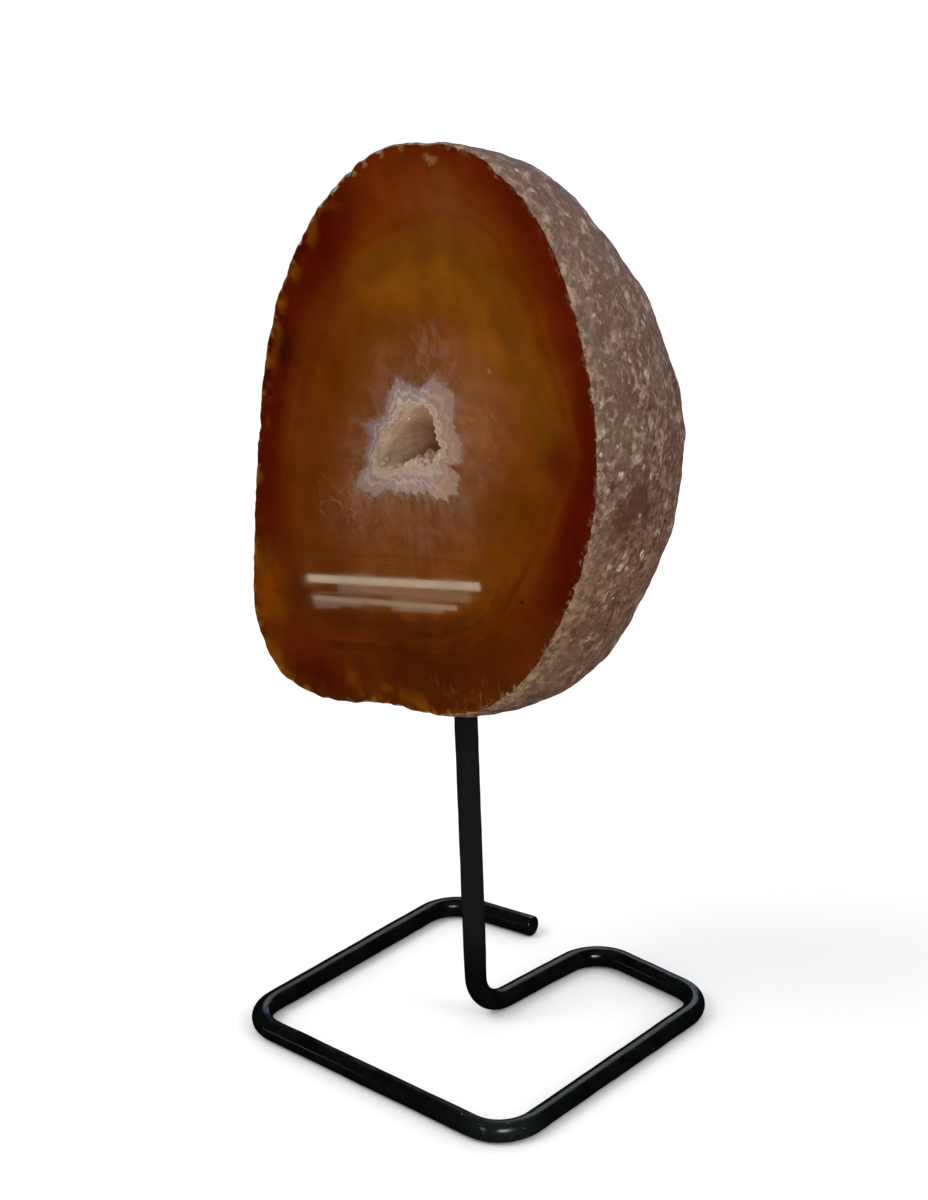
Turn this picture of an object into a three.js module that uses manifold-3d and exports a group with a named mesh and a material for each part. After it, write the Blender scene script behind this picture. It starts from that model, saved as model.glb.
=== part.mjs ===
// An agate nodule, sawn and polished across one side, on a stand bent from one length of black wire.
// Units are millimetres. +Z is up, the polished face looks along -Y and the stand rests on Z = 0.
// The origin is under the middle of the whole object's box.
import * as THREE from "three";
import { mergeVertices } from "three/addons/utils/BufferGeometryUtils.js";
import Module from "manifold-3d";

const wasm = await Module();
wasm.setup();

// The wire, and the gap left between pieces that touch
const WIRE_DIAMETER = 2.5;
const WIRE_SIDES = 12;
const BEND_RADIUS = 4.7;
const BEND_STEPS = 6;
const FIT_GAP = 0.3;

// The stand's route in plan, from its free end to the foot of the upright, as [x, y]
const STAND_PLAN = [
  [-10.1, 18.2],
  [-22.7, 16.4],
  [-22.7, -18.8],
  [17.3, -18.8],
  [17.1, 17.6],
  [-0.9, 18.7],
  [-2.5, -1.0],
];
const UPRIGHT_TOP = 55;

// The stone's place: the middle of its polished face, and how far its rough back reaches behind it
const FACE_Y = -10.8;
const FACE_HEIGHT = 73.8;
const STONE_DEPTH = 29.4;
// The nodule's back leans down and to the right of the face as it closes
const STONE_DRIFT = [1.85, -8.7];
const STONE_BULGE = 0.026;
const STONE_SIDES = 110;
const STONE_RINGS = 26;

// The sawn edge as seen from the front, clockwise from the top, from the face's middle, as [x, z]
const FACE_EDGE = [
  [3, 32],
  [10, 31.7],
  [17.5, 26.8],
  [22.6, 18],
  [24.8, 6.5],
  [24.1, -3.5],
  [20, -14],
  [14, -23],
  [5.5, -28.6],
  [-5, -30.4],
  [-14.5, -32.2],
  [-21.5, -31.2],
  [-24.8, -26],
  [-24, -14],
  [-21.7, 1],
  [-17.5, 14.5],
  [-10, 25],
  [-4, 29.8],
];

// The rough back's lumps: waves that turn by the golden angle and shrink from one to the next.
// At the sawn edge only a share of their height is left.
const LUMP_WAVES = 10;
const LUMP_HEIGHT = 0.24;
const LUMP_LENGTH = 25.9;
const LUMP_START = 1.94;
const LUMP_SHRINK = 0.8;
const LUMP_BEND = 4;
const LUMP_EDGE_SHARE = 0.4;
const GOLDEN_ANGLE = Math.PI * (3 - Math.sqrt(5));

// The crystal-lined hollow: the crystal layer's jagged outer edge on the face, and the open mouth inside it
const HOLLOW_MIDDLE = [0.3, 0.2];
const CRUST_EDGE = [
  [-1.2, 7.2],
  [1.7, 6.5],
  [3.8, 8.6],
  [5.1, 7.3],
  [6.7, 7],
  [6.3, 3.8],
  [7.5, 1.8],
  [7.1, -0.3],
  [5.4, -0.8],
  [7, -1.6],
  [6.2, -3.9],
  [3.9, -4.9],
  [2.1, -4.5],
  [0.2, -5.2],
  [-2.6, -5.8],
  [-3.8, -5.4],
  [-5.2, -7.1],
  [-7.9, -6.2],
  [-7.3, -4.2],
  [-6, -3.3],
  [-6.5, -2],
  [-5.3, -0.1],
  [-6.3, 1.1],
  [-3.3, 3],
  [-2.5, 5.4],
];
const HOLLOW_EDGE = [
  [-0.6, 4.1],
  [2.4, 5],
  [3.6, 3.9],
  [3.9, 1.7],
  [4.4, 0.8],
  [3.4, -0.8],
  [2.2, -1.8],
  [-0.4, -2.1],
  [-3, -3.2],
  [-4.6, -3.4],
  [-4.9, -1.9],
  [-3.5, 0.9],
  [-1.7, 2.6],
];
const CRUST_DEPTH = 9;
const HOLLOW_DEPTH = 7;
const BOWL_RINGS = 6;
const POINT_ROWS = 4;
const POINT_LENGTH = 1.5;
const POINT_RADIUS = 0.6;
const POINT_SPACING = 1.9;

const wireRadius = WIRE_DIAMETER / 2;

// A merged copy of a closed three.js geometry as a solid that can be joined and cut
function toSolid(geometry) {
  const bare = geometry.index ? geometry.toNonIndexed() : geometry.clone();
  for (const name of Object.keys(bare.attributes)) if (name !== "position") bare.deleteAttribute(name);
  const merged = mergeVertices(bare, 1e-4);
  return new wasm.Manifold(
    new wasm.Mesh({
      numProp: 3,
      vertProperties: new Float32Array(merged.attributes.position.array),
      triVerts: new Uint32Array(merged.index.array),
    }),
  );
}

function toGeometry(solid) {
  const mesh = solid.getMesh();
  const geometry = new THREE.BufferGeometry();
  geometry.setAttribute("position", new THREE.BufferAttribute(new Float32Array(mesh.vertProperties), 3));
  geometry.setIndex(new THREE.BufferAttribute(new Uint32Array(mesh.triVerts), 1));
  geometry.computeVertexNormals();
  return geometry;
}

// Height of the lumps at a point of the rough back.
// Each wave's phase bends with the height of those before it.
function lumpsAt(point) {
  const way = new THREE.Vector3();
  let height = 0;
  for (let wave = 0; wave < LUMP_WAVES; wave++) {
    const rise = 1 - (2 * (wave + 0.5)) / LUMP_WAVES;
    const flat = Math.sqrt(1 - rise * rise);
    const shrink = LUMP_SHRINK ** wave;
    way.set(flat * Math.cos(wave * GOLDEN_ANGLE), rise, flat * Math.sin(wave * GOLDEN_ANGLE));
    const turns = point.dot(way) / (LUMP_LENGTH * shrink);
    height += LUMP_HEIGHT * shrink * Math.sin(2 * Math.PI * turns + LUMP_START + wave + LUMP_BEND * height);
  }
  const fromFace = THREE.MathUtils.clamp((point.y - FACE_Y) / (STONE_DEPTH / 4), 0, 1);
  return height * THREE.MathUtils.lerp(LUMP_EDGE_SHARE, 1, fromFace);
}

// A closed bowl: a flat mouth at FACE_Y with the given edge, shrinking as an ellipse does to the far point
function bowl({ edge, middle, depth, rings, drift = [0, 0], bulge = 0, relief = null }) {
  const sides = edge.length;
  const positions = [];
  for (let ring = 0; ring <= rings; ring++) {
    const angle = (ring / rings) * (Math.PI / 2);
    const back = Math.sin(angle);
    const scale = Math.cos(angle) * (1 + bulge * Math.sin(Math.PI * back));
    for (const [x, z] of ring === rings ? [[0, 0]] : edge) {
      const spot = new THREE.Vector3(
        middle[0] + drift[0] * back + x * scale,
        FACE_Y + depth * back,
        middle[1] + drift[1] * back + z * scale,
      );
      const outwards = new THREE.Vector3(x * scale, depth * back, z * scale).normalize();
      if (relief) spot.addScaledVector(outwards, relief(spot));
      positions.push(...spot.toArray());
    }
  }
  positions.push(middle[0], FACE_Y, middle[1]);
  const apex = rings * sides;
  const mouth = apex + 1;
  const faces = [];
  for (let side = 0; side < sides; side++) {
    const next = (side + 1) % sides;
    faces.push(mouth, next, side);
    for (let ring = 0; ring < rings - 1; ring++) {
      const here = ring * sides;
      faces.push(here + side, here + next, here + sides + next);
      faces.push(here + side, here + sides + next, here + sides + side);
    }
    faces.push(apex - sides + side, apex - sides + next, apex);
  }
  const geometry = new THREE.BufferGeometry();
  geometry.setAttribute("position", new THREE.Float32BufferAttribute(positions, 3));
  geometry.setIndex(faces);
  return geometry;
}

// A jagged edge as points round the hollow's middle, moved outwards by a margin
function edgeAround(points, margin = 0) {
  return points.map(([x, z]) => {
    const reach = new THREE.Vector2(x - HOLLOW_MIDDLE[0], z - HOLLOW_MIDDLE[1]);
    return reach.setLength(reach.length() + margin).toArray();
  });
}

// The nodule's sawn edge as a smooth closed curve
function stoneEdge() {
  const curve = new THREE.CatmullRomCurve3(
    FACE_EDGE.map(([x, z]) => new THREE.Vector3(x, 0, z)),
    true,
    "centripetal",
  );
  return curve
    .getSpacedPoints(STONE_SIDES)
    .slice(0, STONE_SIDES)
    .map(({ x, z }) => [x, z]);
}

const hollowMiddle = [HOLLOW_MIDDLE[0], FACE_HEIGHT + HOLLOW_MIDDLE[1]];

// The nodule, with the pocket that its crystals fill and the hole drilled up into it for the wire
function stoneSolid() {
  const nodule = toSolid(
    bowl({
      edge: stoneEdge(),
      middle: [0, FACE_HEIGHT],
      depth: STONE_DEPTH,
      rings: STONE_RINGS,
      drift: STONE_DRIFT,
      bulge: STONE_BULGE,
      relief: lumpsAt,
    }),
  );
  const pocket = toSolid(
    bowl({
      edge: edgeAround(CRUST_EDGE, FIT_GAP * 1.5),
      middle: hollowMiddle,
      depth: CRUST_DEPTH + FIT_GAP,
      rings: BOWL_RINGS,
    }),
  );
  const [x, y] = STAND_PLAN.at(-1);
  const holeTop = UPRIGHT_TOP + FIT_GAP;
  const drilled = new THREE.CylinderGeometry(
    wireRadius + FIT_GAP * 1.2,
    wireRadius + FIT_GAP * 1.2,
    holeTop,
    WIRE_SIDES * 2,
  );
  drilled.rotateX(Math.PI / 2).translate(x, y, holeTop / 2);
  return nodule.subtract(pocket).subtract(toSolid(drilled));
}

// One six-sided crystal point whose foot is sunk in the wall, pointing along a direction
function crystalPoint(foot, way, length, radius) {
  const point = new THREE.CylinderGeometry(0, radius, length, 6);
  point.translate(0, length / 2 - radius / 2, 0);
  point.applyQuaternion(new THREE.Quaternion().setFromUnitVectors(new THREE.Vector3(0, 1, 0), way));
  point.translate(foot.x, foot.y, foot.z);
  return toSolid(point);
}

// Rows of crystal points on the hollow's wall, all leaning to the hollow's middle
function crystalPoints(edge) {
  const wall = new THREE.CatmullRomCurve3(
    edge.map(([x, z]) => new THREE.Vector3(x, 0, z)),
    true,
  );
  const focus = new THREE.Vector3(hollowMiddle[0], FACE_Y + HOLLOW_DEPTH / 4, hollowMiddle[1]);
  const points = [];
  for (let row = 0; row <= POINT_ROWS; row++) {
    const angle = ((row + 0.25) / (POINT_ROWS + 0.6)) * (Math.PI / 2);
    const scale = Math.cos(angle);
    const count = Math.max(1, Math.round((wall.getLength() * scale) / POINT_SPACING));
    for (let i = 0; i < count; i++) {
      const spot = wall.getPointAt(((i + 0.5 * (row % 2)) / count) % 1);
      const foot = new THREE.Vector3(
        hollowMiddle[0] + spot.x * scale,
        FACE_Y + HOLLOW_DEPTH * Math.sin(angle),
        hollowMiddle[1] + spot.z * scale,
      );
      const size = 1 + 0.3 * Math.sin(GOLDEN_ANGLE * (i + 7 * row) * 3);
      const way = focus.clone().sub(foot).normalize();
      points.push(crystalPoint(foot, way, POINT_LENGTH * size, POINT_RADIUS * size));
    }
  }
  return wasm.Manifold.union(points);
}

// The layer of crystals: it fills the pocket round the open hollow and is cut flush with the polished face
function crustSolid() {
  const filling = toSolid(
    bowl({ edge: edgeAround(CRUST_EDGE), middle: hollowMiddle, depth: CRUST_DEPTH, rings: BOWL_RINGS }),
  );
  const hollowEdge = edgeAround(HOLLOW_EDGE);
  const hollow = toSolid(
    bowl({ edge: hollowEdge, middle: hollowMiddle, depth: HOLLOW_DEPTH, rings: BOWL_RINGS }),
  );
  return filling.subtract(hollow).add(crystalPoints(hollowEdge).intersect(filling));
}

// A route of straight runs and round bends, stepped so that each run is one step and each bend a few
class BentWire extends THREE.Curve {
  constructor(corners, bendRadius, bendSteps) {
    super();
    this.stops = [corners[0]];
    for (let i = 1; i < corners.length - 1; i++) {
      const before = corners[i - 1].clone().sub(corners[i]).normalize();
      const after = corners[i + 1].clone().sub(corners[i]).normalize();
      const halfAngle = before.angleTo(after) / 2;
      const middle = corners[i].clone().addScaledVector(
        before.clone().add(after).normalize(),
        bendRadius / Math.sin(halfAngle),
      );
      const start = corners[i].clone().addScaledVector(before, bendRadius / Math.tan(halfAngle));
      const end = corners[i].clone().addScaledVector(after, bendRadius / Math.tan(halfAngle));
      const axis = start.clone().sub(middle).cross(end.clone().sub(middle)).normalize();
      for (let step = 0; step <= bendSteps; step++) {
        const turn = (step / bendSteps) * (Math.PI - 2 * halfAngle);
        this.stops.push(start.clone().sub(middle).applyAxisAngle(axis, turn).add(middle));
      }
    }
    this.stops.push(corners.at(-1));
  }

  get steps() {
    return this.stops.length - 1;
  }

  getPoint(t, target = new THREE.Vector3()) {
    const place = THREE.MathUtils.clamp(t, 0, 1) * this.steps;
    const index = Math.min(Math.floor(place), this.steps - 1);
    return target.lerpVectors(this.stops[index], this.stops[index + 1], place - index);
  }

  // The direction at a stop is the mean of the steps on its two sides, so that sections meet on the mitre
  getTangent(t, target = new THREE.Vector3()) {
    const index = Math.round(THREE.MathUtils.clamp(t, 0, 1) * this.steps);
    const here = this.stops[index];
    target.set(0, 0, 0);
    if (index > 0) target.add(here.clone().sub(this.stops[index - 1]).normalize());
    if (index < this.steps) target.add(this.stops[index + 1].clone().sub(here).normalize());
    return target.normalize();
  }

  getUtoTmapping(u) {
    return u;
  }
}

// The stand: one wire from its free end round the open square foot and up into the stone
function standGeometry() {
  const corners = STAND_PLAN.map(([x, y]) => new THREE.Vector3(x, y, wireRadius));
  corners.push(corners.at(-1).clone().setZ(UPRIGHT_TOP));
  const route = new BentWire(corners, BEND_RADIUS, BEND_STEPS);
  // A flat of the section faces down, at the round wire's own depth
  const cornerRadius = wireRadius / Math.cos(Math.PI / WIRE_SIDES);
  const section = new THREE.Shape();
  for (let i = 0; i < WIRE_SIDES; i++) {
    const angle = ((i + 0.5) / WIRE_SIDES) * 2 * Math.PI;
    section[i ? "lineTo" : "moveTo"](cornerRadius * Math.cos(angle), cornerRadius * Math.sin(angle));
  }
  section.closePath();
  return new THREE.ExtrudeGeometry(section, { steps: route.steps, extrudePath: route, bevelEnabled: false });
}

const finishes = {
  agate: new THREE.MeshStandardMaterial({ color: 0x7a3c0c, roughness: 0.25, metalness: 0 }),
  quartz: new THREE.MeshStandardMaterial({ color: 0xa8928c, roughness: 0.35, metalness: 0 }),
  blackWire: new THREE.MeshStandardMaterial({ color: 0x0c0d0e, roughness: 0.3, metalness: 0 }),
};

function piece(name, geometry, finish) {
  const mesh = new THREE.Mesh(geometry, finish);
  mesh.name = name;
  return mesh;
}

const agateOnStand = new THREE.Group();
agateOnStand.add(piece("stone", toGeometry(stoneSolid()), finishes.agate));
agateOnStand.add(piece("crystal_crust", toGeometry(crustSolid()), finishes.quartz));
agateOnStand.add(piece("wire_stand", standGeometry(), finishes.blackWire));

// The origin goes under the middle of the whole object's box
const box = new THREE.Box3().setFromObject(agateOnStand);
const boxMiddle = box.getCenter(new THREE.Vector3());
agateOnStand.position.set(-boxMiddle.x, -boxMiddle.y, -box.min.z);

export default agateOnStand;
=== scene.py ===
"""An agate nodule, sawn and polished across one side, on a stand bent from one length of black wire.

Shapes are worked out in millimetres from the stand's drawing, and to_frame() puts a finished one in place.
"""
import math

import bpy
import numpy as np
from mathutils import Matrix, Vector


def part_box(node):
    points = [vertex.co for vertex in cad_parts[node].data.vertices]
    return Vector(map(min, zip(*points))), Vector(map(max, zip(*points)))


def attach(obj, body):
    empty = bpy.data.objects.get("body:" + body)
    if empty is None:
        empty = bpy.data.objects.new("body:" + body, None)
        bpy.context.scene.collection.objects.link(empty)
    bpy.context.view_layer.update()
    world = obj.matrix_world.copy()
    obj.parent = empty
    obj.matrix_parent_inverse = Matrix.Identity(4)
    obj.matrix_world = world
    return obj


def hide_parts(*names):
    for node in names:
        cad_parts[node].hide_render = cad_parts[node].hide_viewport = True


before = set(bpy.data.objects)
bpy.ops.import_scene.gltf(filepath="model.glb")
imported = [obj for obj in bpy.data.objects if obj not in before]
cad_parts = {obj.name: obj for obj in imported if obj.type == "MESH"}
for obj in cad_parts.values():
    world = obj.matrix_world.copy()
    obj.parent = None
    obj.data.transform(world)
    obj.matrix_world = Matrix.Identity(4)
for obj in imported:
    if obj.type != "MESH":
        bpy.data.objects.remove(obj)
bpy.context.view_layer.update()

# Measurements in millimetres
WIRE_RADIUS = 1.25
BEND_RADIUS = 4.7
STAND_PLAN = [
    (-10.1, 18.2), (-22.7, 16.4), (-22.7, -18.8), (17.3, -18.8), (17.1, 17.6), (-0.9, 18.7), (-2.5, -1.0),
]
STAND_LOW_CORNER = (-23.95, -20.05)
UPRIGHT_TOP = 55.0
FIT_GAP = 0.3

FACE_Y = -10.8
FACE_HEIGHT = 73.8
STONE_DEPTH = 29.4
STONE_DRIFT = (1.85, -8.7)
STONE_BULGE = 0.026
FACE_EDGE = [
    (3, 32), (10, 31.7), (17.5, 26.8), (22.6, 18), (24.8, 6.5), (24.1, -3.5), (20, -14), (14, -23),
    (5.5, -28.6), (-5, -30.4), (-14.5, -32.2), (-21.5, -31.2), (-24.8, -26), (-24, -14), (-21.7, 1),
    (-17.5, 14.5), (-10, 25), (-4, 29.8),
]
LUMP_WAVES = 10
LUMP_HEIGHT = 0.24
LUMP_LENGTH = 25.9
LUMP_START = 1.94
LUMP_SHRINK = 0.8
LUMP_BEND = 4.0
LUMP_EDGE_SHARE = 0.4
GOLDEN_ANGLE = math.pi * (3 - math.sqrt(5))

# Closed lines that the agate's bands follow on the face, from the rind to the hollow
OLIVE_LINE = [
    (5.6, 25.1), (10.8, 24.5), (14.5, 21.8), (17.5, 17.5), (19.6, 11.9), (21.1, 7.1), (21.9, 3.2),
    (19.2, -2.5), (15.1, -9.8), (11.9, -15), (7.5, -19.5), (0.3, -22.6), (-8.6, -24), (-16.3, -24.8),
    (-19.5, -21.8), (-20, -14.8), (-19.4, -8.8), (-18, -2.8), (-16, 3.2), (-13.5, 10.2), (-10.1, 15.5),
    (-5.6, 19.9), (0.2, 23.3),
]
CORE_LINE = [
    (1.5, 16.2), (6.9, 15.9), (9.4, 13.6), (11.9, 10), (13.6, 6.5), (14.7, 2.3), (14, -2.1), (12.2, -6),
    (10.2, -10.8), (7.6, -15.2), (2.5, -17.6), (-6.3, -19), (-14.6, -19.8), (-16.6, -17), (-16.3, -11.4),
    (-15.3, -7.4), (-14.3, -3.8), (-12.2, 1.9), (-9.2, 8.2), (-7.1, 12.1), (-3.1, 14.8),
]
HOLLOW_MIDDLE = (0.3, 0.2)
CRUST_EDGE = [
    (-1.2, 7.2), (1.7, 6.5), (3.8, 8.3), (5.4, 7.6), (6.7, 7), (6.3, 3.8), (7.5, 1.8), (7.1, -0.3),
    (5.4, -0.8), (7, -1.6), (6.2, -3.9), (3.9, -4.9), (2.1, -4.5), (0.2, -5.2), (-2.7, -5.3), (-3.9, -5.6),
    (-4.9, -6.4), (-5.8, -6.8), (-6.9, -6.2), (-7.9, -6.1), (-7.3, -4.2), (-6, -3.3), (-6.5, -2),
    (-5.3, -0.1), (-6.3, 1.1), (-3.3, 3), (-2.5, 5.4),
]
HOLLOW_EDGE = [
    (-0.6, 4.1), (2.4, 5), (3.6, 3.9), (3.9, 1.7), (4.4, 0.8), (3.4, -0.8), (2.2, -1.8), (-0.4, -2.1),
    (-3, -3.2), (-4.6, -3.4), (-4.9, -1.9), (-3.5, 0.9), (-1.7, 2.6),
]
CRUST_DEPTH = 9.0
HOLLOW_DEPTH = 6.5

# Rows and columns of the grids that the stone and the crystals are made of
COLUMNS = 560
FACE_RINGS = 44
RIM_RINGS = 4
BACK_RINGS = 122
POCKET_RINGS = 4
BAND_ROWS = 22
WALL_ROWS = 26
HIDDEN_ROWS = 5

# Details of the finished pieces; a row of noise is its size, its height and its seed
BACK_START = 0.3
BACK_NOISE = ((3.4, 0.04, 11), (1.7, 0.06, 12), (0.9, 0.08, 13))
SAWN_EDGE_NOISE = ((1.5, 0.20, 61), (0.65, 0.15, 62))
HOLE_RADIUS = 1.5
HOLE_LIP = 0.35
HOLE_DEPTH = 5.0
WALL_NOISE = ((1.3, 0.12, 41), (0.55, 0.05, 42))
CRYSTALS = 90
ENAMEL_NOISE = ((3.4, 0.028, 51), (1.3, 0.014, 52))
WIRE_SIDES = 40
WIRE_STEP = 0.7
WIRE_END_ROUND = 0.35
UPRIGHT_EXTRA = 0.055

# The photograph's view, worked out from the foot's straight runs: degrees, millimetres
CAMERA_PLACE = (174.52, -192.77, 160.71)
CAMERA_TURN = 42.65
CAMERA_TIP = 22.43
CAMERA_ROLL = -2.13
CAMERA_LENS = 78

# The whole model's middle is over the origin, which moves the stand's drawing by this much
stand_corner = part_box("wire_stand")[0]
PLACE = np.array(
    (stand_corner.x * 1000 - STAND_LOW_CORNER[0], stand_corner.y * 1000 - STAND_LOW_CORNER[1], 0.0)
)


def to_frame(points):
    """Drawing millimetres to frame metres: add the place, divide by a thousand."""
    return (np.asarray(points, float) + PLACE) / 1000


# Lines, noise and grids


def lattice_noise(points, size, seed):
    """Smooth noise from -1 to 1: random heights on a cubic lattice of that size, blended by the quintic."""
    heights = np.random.default_rng(seed).uniform(-1, 1, (32, 32, 32))
    cell = np.floor(points / size)
    part = points / size - cell
    fade = part**3 * (part * (part * 6 - 15) + 10)
    total = np.zeros(len(points))
    for corner in np.ndindex(2, 2, 2):
        index = (cell.astype(int) + corner) % 32
        weight = np.prod(np.where(corner, fade, 1 - fade), axis=1)
        total += weight * heights[index[:, 0], index[:, 1], index[:, 2]]
    return total


def layered_noise(points, layers):
    """The sum of lattice noises, each of its own size, height and seed."""
    return sum(height * lattice_noise(points, size, seed) for size, height, seed in layers)


def closed_line(points, steps=60):
    """Closed centripetal Catmull-Rom line through the points, each span read at the same number of steps."""
    here = np.asarray(points, float)
    a, b, c, d = (np.roll(here, -k, axis=0)[:, None] for k in (-1, 0, 1, 2))
    gap = [np.linalg.norm(q - p, axis=2, keepdims=True) ** 0.5 for p, q in ((a, b), (b, c), (c, d))]
    t0, t1 = 0.0, gap[0]
    t2, t3 = t1 + gap[1], t1 + gap[1] + gap[2]
    t = t1 + (t2 - t1) * np.arange(steps)[None, :, None] / steps
    ab = ((t1 - t) * a + (t - t0) * b) / (t1 - t0)
    bc = ((t2 - t) * b + (t - t1) * c) / (t2 - t1)
    cd = ((t3 - t) * c + (t - t2) * d) / (t3 - t2)
    abc = ((t2 - t) * ab + (t - t0) * bc) / (t2 - t0)
    bcd = ((t3 - t) * bc + (t - t1) * cd) / (t3 - t1)
    return (((t2 - t) * abc + (t - t1) * bcd) / (t2 - t1)).reshape(-1, 2)


def jagged_line(points, steps=60):
    """Straight spans between the points, closed."""
    here = np.asarray(points, float)
    part = np.arange(steps)[None, :, None] / steps
    return (here[:, None] * (1 - part) + np.roll(here, -1, axis=0)[:, None] * part).reshape(-1, 2)


# Spokes run out from the hollow's middle, one for each column of a grid
TURN = np.arange(COLUMNS) * 2 * math.pi / COLUMNS
SPOKE = np.stack([np.cos(TURN), np.sin(TURN)], axis=1)


def reach_of(line):
    """Distance of a closed line from the hollow's middle at every spoke."""
    away = line - HOLLOW_MIDDLE
    angle = np.arctan2(away[:, 1], away[:, 0]) % (2 * math.pi)
    order = np.argsort(angle)
    return np.interp(TURN, angle[order], np.hypot(*away.T)[order], period=2 * math.pi)


def toothed(reach, seed, teeth, depths):
    """A jagged version of a line: uneven teeth, in and out by turns, joined by straight flanks."""
    chance = np.random.default_rng(seed)
    corners = np.sort((np.arange(teeth) + chance.uniform(0.15, 0.85, teeth)) * 2 * math.pi / teeth)
    swing = chance.uniform(*depths, teeth) * np.where(np.arange(teeth) % 2, 1, -1)
    return reach + np.interp(TURN, corners, swing, period=2 * math.pi)


def spokes_to(reach, depth=0.0):
    """Points at the given distance along every spoke, at a depth behind the face."""
    flat = np.asarray(HOLLOW_MIDDLE) + SPOKE * np.asarray(reach)[:, None]
    return np.stack([flat[:, 0], np.full(COLUMNS, FACE_Y) + depth, FACE_HEIGHT + flat[:, 1]], axis=1)


def bowl_rows(reach, depth, rows):
    """Rows of a quarter bowl from its bottom up: the line shrinks by the cosine and goes back by the sine."""
    angles = np.linspace(0, math.pi / 2, rows + 1)[1:-1][::-1]
    return np.array([spokes_to(reach * math.cos(angle), depth * math.sin(angle)) for angle in angles])


def bowl_tip(depth):
    """The lowest point of a bowl, behind the hollow's middle."""
    return spokes_to(np.zeros(COLUMNS), depth)[:1]


def sheet_faces(rows, columns=COLUMNS, first=0):
    """Quads of a grid whose columns close on themselves, row by row."""
    column = np.arange(columns)
    after = (column + 1) % columns
    row = first + np.arange(rows - 1)[:, None] * columns
    next_row = row + columns
    return np.stack([row + column, row + after, next_row + after, next_row + column], axis=-1).reshape(-1, 4)


def fan_faces(tip, ring, flip=False):
    """Triangles from one tip to each edge of a closed ring of vertices."""
    after = np.roll(ring, -1)
    tips = np.full(len(ring), tip)
    return np.stack([tips, after, ring] if flip else [tips, ring, after], axis=1)


def make_piece(name, points, face_sets, finishes, finish_sets=None, fields=None, smooth=True):
    """One mesh object from drawing points and sets of faces.

    Each set has the number of its finish and its smoothness; fields are values on the points.
    """
    mesh = bpy.data.meshes.new(name)
    faces = [tuple(face) for face_set in face_sets for face in face_set.tolist()]
    mesh.from_pydata(to_frame(points).tolist(), [], faces)
    for material in finishes:
        mesh.materials.append(material)
    if finish_sets is not None:
        which = np.concatenate([np.full(len(part), k) for part, k in zip(face_sets, finish_sets)])
        mesh.polygons.foreach_set("material_index", which.astype(np.int32))
    smoothness = smooth if isinstance(smooth, list) else [smooth] * len(face_sets)
    flags = np.concatenate([np.full(len(part), bool(k)) for part, k in zip(face_sets, smoothness)])
    mesh.polygons.foreach_set("use_smooth", flags)
    for label, values in (fields or {}).items():
        field = mesh.attributes.new(label, "FLOAT", "POINT")
        field.data.foreach_set("value", np.asarray(values, np.float32))
    mesh.validate()
    mesh.update()
    piece = bpy.data.objects.new(name, mesh)
    bpy.context.scene.collection.objects.link(piece)
    return piece


# The crystals' outer edge and the hollow's edge, as distances along the spokes; the lower edge is more ragged
LOWER_EDGE = np.clip((-SPOKE[:, 1] - 0.35) / 0.3, 0, 1)
CRUST_REACH = toothed(reach_of(jagged_line(CRUST_EDGE)), 3, 96, (0.04, 0.24))
CRUST_REACH += toothed(np.zeros(COLUMNS), 17, 52, (0.10, 0.42)) * LOWER_EDGE
HOLLOW_REACH = toothed(reach_of(jagged_line(HOLLOW_EDGE)), 5, 70, (0.03, 0.2))
HOLLOW_FOCUS = np.array((HOLLOW_MIDDLE[0], FACE_Y + 1.5, FACE_HEIGHT + HOLLOW_MIDDLE[1]))


# Shader building


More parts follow.
